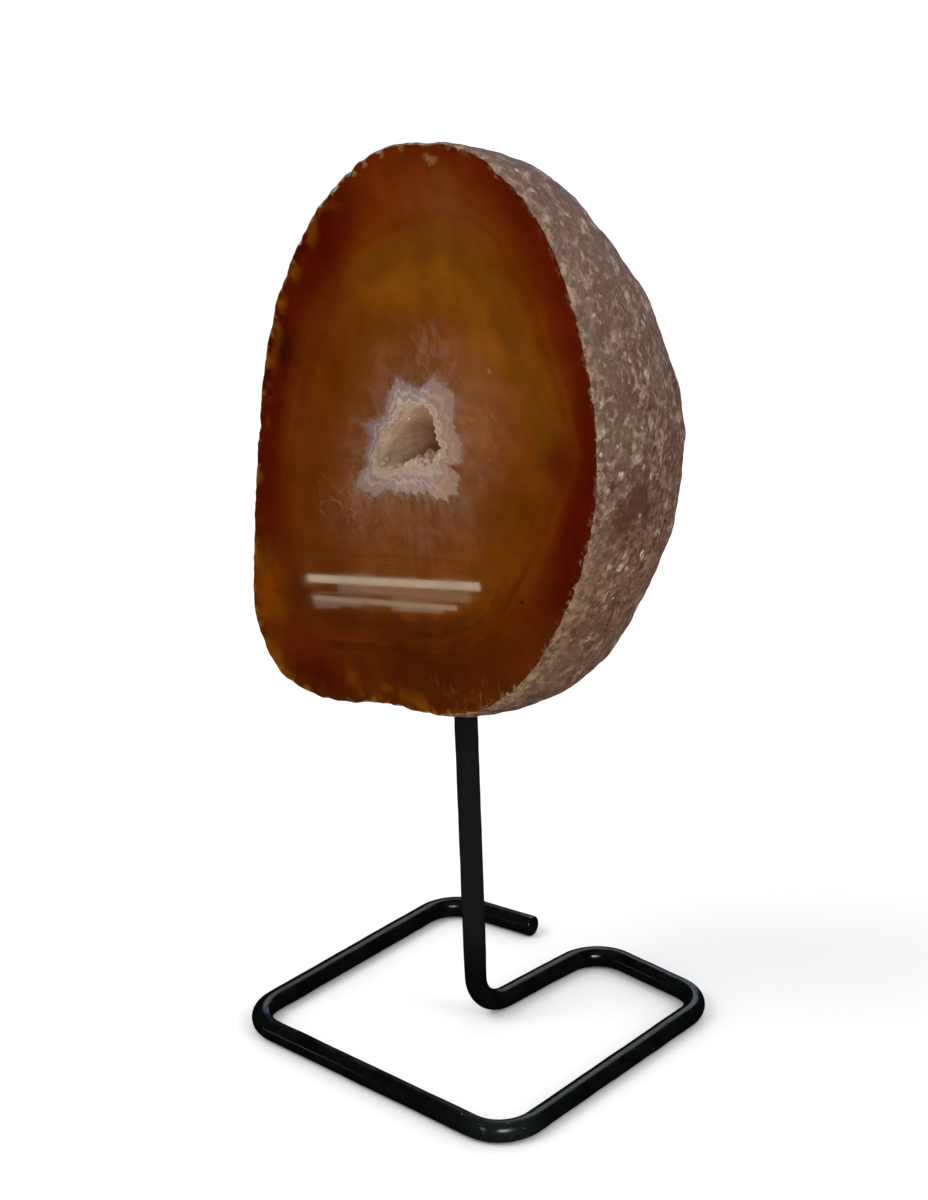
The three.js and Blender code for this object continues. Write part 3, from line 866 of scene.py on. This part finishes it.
def make_black_wire():
    """Glossy black enamel, made greyer on the upright by a painted sheen, with pale scuffs at the foot's
    front corner.
    """
    material, graph, shader = finish("black_wire")
    place = millimetres(graph)
    grain = place_group(graph, FINE_GRAIN, {"Place": place, "Size": 2.2, "Warp": 0.5})
    near_corner = graph.between(graph.vector("DISTANCE", place, (15.5, -17.2, 1.8)), 7.0, 0.5)
    stretched = graph.vector("MULTIPLY", place, (0.5, 1.0, 1.0))
    share = graph.calc("MULTIPLY_ADD", near_corner, 0.5, 0.02)
    scuffs = place_group(graph, CHIP_FLECKS, {"Place": stretched, "Size": 1.1, "Width": 0.05, "Share": share})
    wire = Paint(graph, graph.mix(grain["Tone"], (0.0012, 0.0015, 0.0016), (0.0030, 0.0035, 0.0035)))
    wire.lay((0.018, 0.024, 0.024), near_corner, 0.35)
    # Painted sheen: the upright is lighter grey, standing in for the soft reflection along it
    wire.lay((0.0095, 0.0095, 0.0085), graph.between(graph.split(place)[2], 6.0, 14.0), 0.85)
    wire.lay((0.09, 0.11, 0.11), scuffs["Mask"], 0.6)
    graph.feed(shader.inputs["Base Color"], wire.colour)
    smooth = graph.between(grain["Tone"], 0.0, 1.0, 0.14, 0.27)
    graph.feed(shader.inputs["Roughness"], graph.calc("MULTIPLY_ADD", scuffs["Mask"], 0.3, smooth))
    bump = graph.add("ShaderNodeBump", {"Height": grain["Height"], "Strength": 0.1, "Distance": 0.0001})
    graph.feed(shader.inputs["Normal"], bump.outputs[0])
    return material


# The stone


def lumps_at(points):
    """Lumps of the rough back: the sum of sine waves whose ways are turned by the golden angle.

    Each wave is shorter and lower than the last, and the sum so far bends its phase.
    """
    height = np.zeros(len(points))
    for wave in range(LUMP_WAVES):
        rise = 1 - 2 * (wave + 0.5) / LUMP_WAVES
        flat = math.sqrt(1 - rise * rise)
        way = np.array((flat * math.cos(wave * GOLDEN_ANGLE), rise, flat * math.sin(wave * GOLDEN_ANGLE)))
        shrink = LUMP_SHRINK**wave
        turns = (points @ way) / (LUMP_LENGTH * shrink)
        height += LUMP_HEIGHT * shrink * np.sin(2 * math.pi * turns + LUMP_START + wave + LUMP_BEND * height)
    from_face = np.clip((points[:, 1] - FACE_Y) / (STONE_DEPTH / 4), 0, 1)
    return height * (LUMP_EDGE_SHARE + (1 - LUMP_EDGE_SHARE) * from_face)


def pits_at(points, seed, count, radii, depths):
    """Round dents at random points of the surface: each sinks by its depth times a bell of its radius."""
    chance = np.random.default_rng(seed)
    centres = points[chance.integers(0, len(points), count)]
    radius = chance.uniform(*radii, count)
    depth = chance.uniform(*depths, count)
    sunk = np.zeros(len(points))
    for start in range(0, len(points), 8000):
        part = points[start : start + 8000]
        apart = ((part[:, None] - centres[None]) ** 2).sum(axis=2)
        sunk[start : start + 8000] = (depth * np.exp(-apart / (0.45 * radius**2))).max(axis=1)
    return sunk


def make_back():
    """Rings of the rough back: the sawn outline shrinks by the cosine and goes back by the sine of an angle.

    Its middle drifts on the way, and lumps, fine noise and pits move each point along the way out from the
    face's middle. Returns the rings and the point that closes them.
    """
    outline = np.asarray(HOLLOW_MIDDLE) + SPOKE * reach_of(closed_line(FACE_EDGE))[:, None]
    start = math.asin(BACK_START / STONE_DEPTH)
    angle = start + (math.pi / 2 - start) * np.arange(BACK_RINGS + 1) / BACK_RINGS
    back = np.sin(angle)
    scale = np.cos(angle) * (1 + STONE_BULGE * np.sin(math.pi * back))
    scale[-1] = 0
    wide = outline[None] * scale[:, None, None]
    deep = np.broadcast_to(STONE_DEPTH * back[:, None], wide.shape[:2])
    flat = wide + np.asarray(STONE_DRIFT) * back[:, None, None]
    spots = np.stack([flat[..., 0], FACE_Y + deep, flat[..., 1] + FACE_HEIGHT], axis=-1).reshape(-1, 3)
    outward = np.stack([wide[..., 0], deep, wide[..., 1]], axis=-1).reshape(-1, 3)
    outward /= np.linalg.norm(outward, axis=-1, keepdims=True)

    depth_in = spots[:, 1] - FACE_Y
    fade = 0.6 + 0.4 * np.clip(depth_in / 3, 0, 1)
    rough = layered_noise(spots, BACK_NOISE) + layered_noise(spots, SAWN_EDGE_NOISE) * np.exp(-depth_in / 0.9)
    pits = pits_at(spots[:-COLUMNS], 21, 420, (0.4, 1.1), (0.04, 0.13))
    pits = np.concatenate([pits, np.zeros(COLUMNS)])
    spots = spots + outward * (lumps_at(spots) + fade * (rough - pits))[:, None]
    rings = spots.reshape(BACK_RINGS + 1, COLUMNS, 3)
    tip = rings[-1].mean(axis=0)
    rings = rings[:-1]

    # The drilled hole: points close to the wire's line under the stone are pushed up
    apart = np.hypot(rings[..., 0] - STAND_PLAN[-1][0], rings[..., 1] - STAND_PLAN[-1][1])
    in_hole = np.clip((HOLE_RADIUS + HOLE_LIP - apart) / HOLE_LIP, 0, 1)
    rings[..., 2] += HOLE_DEPTH * in_hole * (rings[..., 2] < FACE_HEIGHT - 12)
    return rings, tip


def make_rim(corner):
    """Quarter round from the face to the back's first ring, deeper where the edge is chipped."""
    chips = np.clip(lattice_noise(corner, 1.1, 31), 0, 1) ** 2
    round_off = 0.16 + 0.5 * chips
    turn = np.linspace(0, math.pi / 2, RIM_RINGS + 1)[:-1, None]
    inward = SPOKE.T[:, None] * round_off * (1 - np.sin(turn))
    lift = np.minimum(round_off * (1 - np.cos(turn)), 0.28)
    return np.stack([corner[:, 0] - inward[0], FACE_Y + lift, corner[:, 2] - inward[1]], axis=-1)


def make_face(rim_ring):
    """Rows of the face, evenly spread between the lines that the bands follow, and each row's band."""
    rim_flat = rim_ring[:, (0, 2)] - (0, FACE_HEIGHT)
    rim_reach = ((rim_flat - HOLLOW_MIDDLE) * SPOKE).sum(axis=1)
    inset = 4.2 + 0.9 * np.sin(3 * TURN + 1)
    olive = np.minimum(reach_of(closed_line(OLIVE_LINE)), rim_reach - 1.6)
    red = np.maximum(rim_reach - inset, olive + 0.35 * (rim_reach - olive))
    lines = np.stack([rim_reach, red, olive, reach_of(closed_line(CORE_LINE)), CRUST_REACH])
    line_bands = np.array((0.0, 0.22, 0.5, 0.75, 1.0))
    bands = np.linspace(1, 0, FACE_RINGS)
    which = np.clip(np.searchsorted(line_bands, bands, side="right") - 1, 0, 3)
    part = (bands - line_bands[which]) / np.diff(line_bands)[which]
    reach = lines[which] * (1 - part[:, None]) + lines[which + 1] * part[:, None]
    face = np.array([spokes_to(row) for row in reach])
    face[-1] = rim_ring
    return face, bands


def make_stone():
    """Pocket, face, rounded rim and rough back as one grid: rows of points round the hollow."""
    back, tip = make_back()
    rim = make_rim(back[0])
    face, bands = make_face(rim[0])
    pocket = bowl_rows(CRUST_REACH, CRUST_DEPTH + FIT_GAP, POCKET_RINGS)
    grid = np.concatenate([pocket, face, rim[1:], back])
    points = np.concatenate([grid.reshape(-1, 3), tip[None], bowl_tip(CRUST_DEPTH + FIT_GAP)])
    count = len(grid) * COLUMNS
    rest = len(rim) - 1 + len(back)
    row_bands = np.concatenate([np.full(len(pocket), 1.0), bands, np.zeros(rest)])
    first_of_face = len(pocket) * COLUMNS
    last_of_face = first_of_face + (FACE_RINGS - 1) * COLUMNS
    return make_piece(
        "agate_stone",
        points,
        [
            sheet_faces(FACE_RINGS, first=first_of_face),
            sheet_faces(len(pocket) + 1),
            fan_faces(count + 1, np.arange(COLUMNS), flip=True),
            sheet_faces(rest + 1, first=last_of_face),
            fan_faces(count, np.arange(count - COLUMNS, count)),
        ],
        [make_polished_agate(), make_rind()],
        [0, 1, 1, 1, 1],
        {
            "bands": np.concatenate([np.repeat(row_bands, COLUMNS), (0.0, 1.0)]),
            "behind": np.clip(points[:, 1] - FACE_Y, 0, None),
        },
        [False, True, True, True, True],
    )


# The crystals


def make_hollow_wall():
    """Rows of the hollow's bowl, with noise along the way from its focus; returns them and their angles.

    The edge's teeth fade into the wall by an exponential.
    """
    angles = np.linspace(0, math.pi / 2, WALL_ROWS + 1)[1:-1]
    even = np.convolve(np.tile(HOLLOW_REACH, 3), np.ones(25) / 25, "same")[COLUMNS : 2 * COLUMNS]
    rows = []
    for angle in angles:
        teeth = (HOLLOW_REACH - even) * math.exp(-9 * math.sin(angle))
        rows.append(spokes_to((even + teeth) * math.cos(angle), HOLLOW_DEPTH * math.sin(angle)))
    spots = np.concatenate(rows)
    away = spots - HOLLOW_FOCUS
    away /= np.linalg.norm(away, axis=1, keepdims=True)
    spots = spots + away * layered_noise(spots, WALL_NOISE)[:, None]
    spots[:, 1] = np.maximum(spots[:, 1], FACE_Y + 0.03)
    return spots.reshape(-1, COLUMNS, 3), angles


def make_crystal_points(first):
    """Crystals low on the wall: six-sided prisms with six-sided tips, leaning to the middle of the hollow.

    Returns their points, their sides, bottoms and tops counted from the first point, and their bands.
    """
    chance = np.random.default_rng(7)
    angle = chance.uniform(0.03, 0.30, CRYSTALS) + 0.5 * chance.uniform(0, 1, CRYSTALS) ** 3
    column = (chance.normal(0.76, 0.08, CRYSTALS) % 1 * COLUMNS).astype(int)
    flat = np.asarray(HOLLOW_MIDDLE) + SPOKE[column] * (HOLLOW_REACH[column] * np.cos(angle))[:, None]
    foot = np.stack([flat[:, 0], FACE_Y + HOLLOW_DEPTH * np.sin(angle), FACE_HEIGHT + flat[:, 1]], axis=1)
    lean = HOLLOW_FOCUS + chance.uniform(-1.2, 1.2, (CRYSTALS, 3)) - foot
    lean /= np.linalg.norm(lean, axis=1, keepdims=True)
    radius = chance.uniform(0.22, 0.55, CRYSTALS)
    length = radius * chance.uniform(0.0, 0.6, CRYSTALS)
    room = (foot[:, 1] - FACE_Y - 0.1) / np.maximum(-lean[:, 1], 0.05)
    length = np.minimum(length, np.maximum(0.15, room))
    tip = 0.55 * radius
    bands = np.minimum(2 + np.sin(angle) * 0.9, 2.07)

    # One clear crystal high on the wall has a flat end that catches the light
    foot[0] = (-2.1, FACE_Y + 2.3, FACE_HEIGHT + 2.1)
    lean[0] = (0.663, -0.648, 0.377)
    radius[0] = 0.17
    length[0] = 0.9
    tip[0] = 0.0
    bands[0] = 1.9

    side = np.cross(lean, (0.0, 0.3, 1.0))
    side /= np.linalg.norm(side, axis=1, keepdims=True)
    other = np.cross(lean, side)
    around = np.arange(6) * math.pi / 3
    ring = np.cos(around)[None, :, None] * side[:, None] + np.sin(around)[None, :, None] * other[:, None]
    ring = ring * radius[:, None, None]
    root = foot - lean * 0.4
    shoulder = foot + lean * (length * 0.45)[:, None]
    peak = foot + lean * (length * np.where(tip > 0, 1, 0.45) + tip)[:, None]
    shells = np.concatenate(
        [root[:, None] + ring, shoulder[:, None] + ring * 0.92, root[:, None], peak[:, None]], axis=1
    )
    shells[..., 1] = np.maximum(shells[..., 1], FACE_Y + 0.02)

    start = first + np.arange(CRYSTALS)[:, None, None] * 14
    k = np.arange(6)
    after = (k + 1) % 6
    sides = (start + np.stack([k, after, 6 + after, 6 + k], axis=1)).reshape(-1, 4)
    bottoms = (start + np.stack([np.full(6, 12), after, k], axis=1)).reshape(-1, 3)
    tops = (start + np.stack([6 + k, 6 + after, np.full(6, 13)], axis=1)).reshape(-1, 3)
    return shells.reshape(-1, 3), [sides, bottoms, tops], np.repeat(bands, 14)


def make_crust():
    """The layer round the hollow: hidden back, flat band flush with the face, the hollow's wall, crystals.

    The band's rows go from the outer edge to the hollow's edge, moved to and fro by a zigzag between them.
    """
    share = np.linspace(0, 1, BAND_ROWS)
    width = CRUST_REACH - HOLLOW_REACH
    teeth = np.clip(toothed(np.zeros(COLUMNS), 9, 38, (0.15, 1.0)), -1, 1)
    zigzag = 0.24 * width * (1 - 0.7 * LOWER_EDGE) * teeth
    band = np.array([spokes_to(CRUST_REACH - width * s + zigzag * math.sin(math.pi * s)) for s in share])
    hidden = bowl_rows(CRUST_REACH, CRUST_DEPTH, HIDDEN_ROWS)
    wall, angles = make_hollow_wall()
    grid = np.concatenate([hidden, band, wall])
    count = len(grid) * COLUMNS
    points = np.concatenate([grid.reshape(-1, 3), bowl_tip(HOLLOW_DEPTH), bowl_tip(CRUST_DEPTH)])
    crystals, crystal_faces, crystal_bands = make_crystal_points(len(points))
    row_bands = np.concatenate([np.full(len(hidden), 1.0), 1 + share, 2 + np.sin(angles)])
    return make_piece(
        "crystal_layer",
        np.concatenate([points, crystals]),
        [
            sheet_faces(len(grid)),
            fan_faces(count, np.arange(count - COLUMNS, count)),
            fan_faces(count + 1, np.arange(COLUMNS), flip=True),
            *crystal_faces,
        ],
        [make_quartz()],
        fields={"bands": np.concatenate([np.repeat(row_bands, COLUMNS), (3.0, 1.0), crystal_bands])},
        smooth=[True, True, True, False, False, False],
    )


# The stand


def bent_route(corners, radius, step):
    """Straight runs and round bends of one radius through the corners, with a stop at least every step."""
    stops = [corners[0]]
    for before, here, after in zip(corners, corners[1:], corners[2:]):
        back = (before - here) / np.linalg.norm(before - here)
        on = (after - here) / np.linalg.norm(after - here)
        half = math.acos(float(np.clip(back @ on, -1, 1))) / 2
        middle = here + (back + on) / np.linalg.norm(back + on) * radius / math.sin(half)
        first = here + back * radius / math.tan(half) - middle
        last = here + on * radius / math.tan(half) - middle
        sweep = math.pi - 2 * half
        part = np.linspace(0, 1, 15)[:, None]
        arc = middle + (np.sin((1 - part) * sweep) * first + np.sin(part * sweep) * last) / math.sin(sweep)
        stops.extend(arc)
    stops.append(corners[-1])
    stops = np.array(stops)
    pieces = []
    for start, end in zip(stops, stops[1:]):
        steps = max(1, math.ceil(np.linalg.norm(end - start) / step))
        pieces.append(start + (end - start) * np.arange(steps)[:, None] / steps)
    return np.concatenate([*pieces, stops[-1:]])


def make_stand():
    """The wire: a circle carried along the route, its radius closing as a flat dome at both ends."""
    corners = [np.array((x, y, WIRE_RADIUS)) for x, y in STAND_PLAN]
    corners.append(np.array((*STAND_PLAN[-1], UPRIGHT_TOP)))
    route = bent_route(corners, BEND_RADIUS, WIRE_STEP)
    heading = np.gradient(route, axis=0)
    heading /= np.linalg.norm(heading, axis=1, keepdims=True)

    # The circle's own axes: one stays level, and keeps its way where the wire rises
    level = heading.copy()
    level[:, 2] = 0
    rising = np.hypot(level[:, 0], level[:, 1]) < 0.98
    level[rising] = (*(np.array(STAND_PLAN[-1]) - STAND_PLAN[-2]), 0)
    level /= np.linalg.norm(level, axis=1, keepdims=True)
    side = np.stack([-level[:, 1], level[:, 0], np.zeros(len(level))], axis=1)
    over = np.cross(side, heading)
    over /= np.linalg.norm(over, axis=1, keepdims=True)

    # Both ends close as flat domes: rings step out by the sine and shrink by the cosine
    dome = np.radians((0.0, 25.0, 50.0, 70.0, 85.0))
    step_out = WIRE_END_ROUND * (np.sin(dome) - 1)[:, None]
    shrink = np.cos(dome) * 0.35 + 0.65
    shrink[-1] = 0.35
    first_end = route[0] - heading[0] * step_out[::-1]
    last_end = route[-1] + heading[-1] * step_out
    last = len(route) - 1
    centres = np.concatenate([first_end, route[1:-1], last_end])
    pick = np.concatenate([np.zeros(len(dome), int), np.arange(1, last), np.full(len(dome), last)])
    scale = np.concatenate([shrink[::-1], np.ones(last - 1), shrink])

    # The enamel is a little thicker on the upright, and uneven all over
    thick = 1 + UPRIGHT_EXTRA * np.clip((centres[:, 2] - 3) / 6, 0, 1)
    around = (np.arange(WIRE_SIDES) * 2 * math.pi / WIRE_SIDES)[None, :, None]
    ring = np.cos(around) * side[pick][:, None] + np.sin(around) * over[pick][:, None]
    spots = (centres[:, None] + ring * (WIRE_RADIUS * scale * thick)[:, None, None]).reshape(-1, 3)
    flow = layered_noise(spots, ENAMEL_NOISE) - 0.014
    spots = spots + ring.reshape(-1, 3) * flow[:, None]
    spots[:, 2] = np.maximum(spots[:, 2], 0.0)
    count = len(spots)
    tips = np.array((centres[0] - heading[0] * 0.02, centres[-1] + heading[-1] * 0.02))
    return make_piece(
        "wire_foot_and_upright",
        np.concatenate([spots, tips]),
        [
            sheet_faces(len(centres), WIRE_SIDES),
            fan_faces(count, np.arange(WIRE_SIDES), flip=True),
            fan_faces(count + 1, np.arange(count - WIRE_SIDES, count)),
        ],
        [make_black_wire()],
    )


def face_outwards(piece):
    """Turn every face of a closed piece round if its signed volume is negative."""
    mesh = piece.data
    mesh.calc_loop_triangles()
    places = np.zeros(len(mesh.vertices) * 3, np.float32)
    mesh.vertices.foreach_get("co", places)
    corners = np.zeros(len(mesh.loop_triangles) * 3, np.int32)
    mesh.loop_triangles.foreach_get("vertices", corners)
    a, b, c = places.reshape(-1, 3).astype(float)[corners.reshape(-1, 3)].transpose(1, 0, 2)
    if (a * np.cross(b, c)).sum() < 0:
        mesh.flip_normals()
    return piece


stone = face_outwards(make_stone())
crust = face_outwards(make_crust())
stand = face_outwards(make_stand())
for piece, node, slot in (
    (stone, "stone", "agate"),
    (crust, "crystal_crust", "quartz"),
    (stand, "wire_stand", "black_wire"),
):
    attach(piece, "root")
    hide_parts(node)


# Floor, light and camera

REFLECTION_ONLY = {"visible_camera": False, "visible_diffuse": False, "visible_transmission": False}


def make_floor():
    """A wide pale table top."""
    mesh = bpy.data.meshes.new("floor")
    mesh.from_pydata([(-3, -3, 0), (3, -3, 0), (3, 3, 0), (-3, 3, 0)], [], [(0, 1, 2, 3)])
    floor = bpy.data.objects.new("floor", mesh)
    bpy.context.scene.collection.objects.link(floor)
    material, graph, shader = finish("pale_floor")
    shader.inputs["Base Color"].default_value = (0.96, 0.96, 0.96, 1)
    shader.inputs["Roughness"].default_value = 0.9
    mesh.materials.append(material)
    floor.visible_glossy = False


def make_world():
    """Even soft light: white where the camera sees it, grey for what it lights, dark in reflections."""
    world = bpy.data.worlds.new("studio")
    bpy.context.scene.world = world
    world.use_nodes = True
    world.node_tree.nodes.clear()
    graph = Graph(world.node_tree)
    ray = graph.add("ShaderNodeLightPath")
    grey = graph.mix(ray.outputs["Is Glossy Ray"], (0.92, 0.92, 0.93), (0.006, 0.006, 0.0065))
    light = graph.mix(ray.outputs["Is Camera Ray"], grey, (1.0, 1.0, 1.0))
    sky = graph.add("ShaderNodeBackground", {"Color": light})
    graph.add("ShaderNodeOutputWorld", {"Surface": sky.outputs[0]})


def set_pose(thing, right, up, back, place):
    """Turn an object to three axes and put it at a place in millimetres."""
    pose = np.eye(4)
    pose[:3, 0] = right
    pose[:3, 1] = up
    pose[:3, 2] = back
    pose[:3, 3] = to_frame(place)
    thing.matrix_world = Matrix(pose.tolist())


def make_camera():
    """The photograph's view."""
    turn, tip, roll = (math.radians(value) for value in (CAMERA_TURN, CAMERA_TIP, CAMERA_ROLL))
    back = np.array((math.sin(turn) * math.cos(tip), -math.cos(turn) * math.cos(tip), math.sin(tip)))
    right = np.array((math.cos(turn), math.sin(turn), 0))
    up = np.cross(back, right)
    rolled_right = math.cos(roll) * right + math.sin(roll) * up
    rolled_up = math.cos(roll) * up - math.sin(roll) * right
    camera = bpy.data.objects.new("camera", bpy.data.cameras.new("camera"))
    camera.data.lens = CAMERA_LENS
    camera.data.sensor_width = 36
    camera.data.clip_start = 0.01
    set_pose(camera, rolled_right, rolled_up, back, CAMERA_PLACE)
    bpy.context.scene.collection.objects.link(camera)
    bpy.context.scene.camera = camera


def make_light(name, place, aim, size, power, colour=(1, 1, 1), **seen):
    """A rectangular soft light at a place in millimetres, turned to its aim."""
    light = bpy.data.lights.new(name, "AREA")
    light.shape = "RECTANGLE"
    light.size, light.size_y = size[0] / 1000, size[1] / 1000
    light.energy = power
    light.color = colour
    lamp = bpy.data.objects.new(name, light)
    bpy.context.scene.collection.objects.link(lamp)
    ahead = np.array(aim, float) - np.array(place, float)
    ahead /= np.linalg.norm(ahead)
    right = np.cross(ahead, (0, 0, 1))
    right /= np.linalg.norm(right)
    set_pose(lamp, right, np.cross(right, ahead), -ahead, place)
    for key, value in seen.items():
        setattr(lamp, key, value)
    return lamp


def power_of(radiance, size):
    """The power that gives a lamp of that size in millimetres its radiance."""
    return radiance * math.pi * (size[0] / 1000) * (size[1] / 1000)


def make_glint(name, way, distance, size, radiance, colour):
    """A lamp that only shows as a reflection, in a direction from the foot."""
    way = np.array(way, float) / np.linalg.norm(way)
    make_light(name, way * distance, (0, 0, 0), size, power_of(radiance, size), colour, **REFLECTION_ONLY)


def make_mirrored_bar(name, start, end, height, radiance, colour):
    """A thin lamp that the polished face mirrors to the camera as a bar between two points of the face.

    It lies on the lines from the camera's mirror image through the two points, a bit further than the face.
    """
    mirrored = np.array((CAMERA_PLACE[0], 2 * FACE_Y - CAMERA_PLACE[1], CAMERA_PLACE[2]))
    ends = [np.array((x, FACE_Y, FACE_HEIGHT + z)) for x, z in (start, end)]
    middle = (ends[0] + ends[1]) / 2
    stretch = 1.4
    places = [mirrored + (point - mirrored) * stretch for point in (*ends, middle)]
    width = np.linalg.norm(places[1] - places[0])
    size = (width, height * stretch)
    lamp = make_light(name, places[2], middle, size, power_of(radiance, size), colour, **REFLECTION_ONLY)

    # The lamp looks straight across the face, with its long side along the bar
    run = (places[1] - places[0]) / width
    ahead = np.array((0.0, 1.0, 0.0))
    ahead -= run * (run @ ahead)
    ahead /= np.linalg.norm(ahead)
    set_pose(lamp, run, np.cross(-ahead, run), -ahead, places[2])


make_floor()
make_world()
make_camera()
make_light("key_softbox", (-520, -900, 1350), (0, 0, 60), (800, 600), 8.0, visible_glossy=False)
make_light("fill_softbox", (1150, 100, 900), (0, 0, 60), (700, 700), 4.0, visible_glossy=False)
make_glint("front_glint", (0.62, -0.58, 0.53), 620, (190, 190), 12.0, (0.9, 1.0, 0.98))
make_glint("back_glint", (-0.3, 0.68, 0.67), 600, (340, 340), 1.25, (0.85, 0.95, 1.0))
make_glint("window_glint", (-0.4, 0.9, 0.25), 700, (170, 170), 1.6, (0.3, 0.6, 1.0))
make_mirrored_bar("upper_bar", (-16.2, -18.4), (9.2, -13.2), 0.9, 4.8, (1.0, 0.95, 0.72))
make_mirrored_bar("lower_bar", (-15.5, -20.5), (5.9, -16.4), 0.6, 2.7, (1.0, 0.92, 0.65))
make_mirrored_bar("veil_between", (-11.5, -18.5), (7.8, -14.6), 0.85, 1.1, (1.0, 0.95, 0.68))
make_mirrored_bar("streak_above", (-15.1, -19.8), (8.0, -14.7), 0.14, 1.2, (1.0, 0.93, 0.68))
make_mirrored_bar("streak_right", (-3.4, -17.6), (7.7, -15.2), 0.4, 1.1, (1.0, 0.9, 0.64))
make_mirrored_bar("lower_left_fill", (-15.4, -21.1), (-8.0, -19.5), 0.5, 1.5, (1.0, 0.8, 0.7))
make_mirrored_bar("lower_left_end", (-15.1, -21.5), (-11.4, -20.6), 0.38, 1.2, (1.0, 0.8, 0.72))
make_mirrored_bar("lower_right_fill", (-3.5, -18.8), (4.0, -17.2), 0.5, 1.7, (1.0, 0.82, 0.68))
bpy.context.scene.view_settings.view_transform = "Standard"
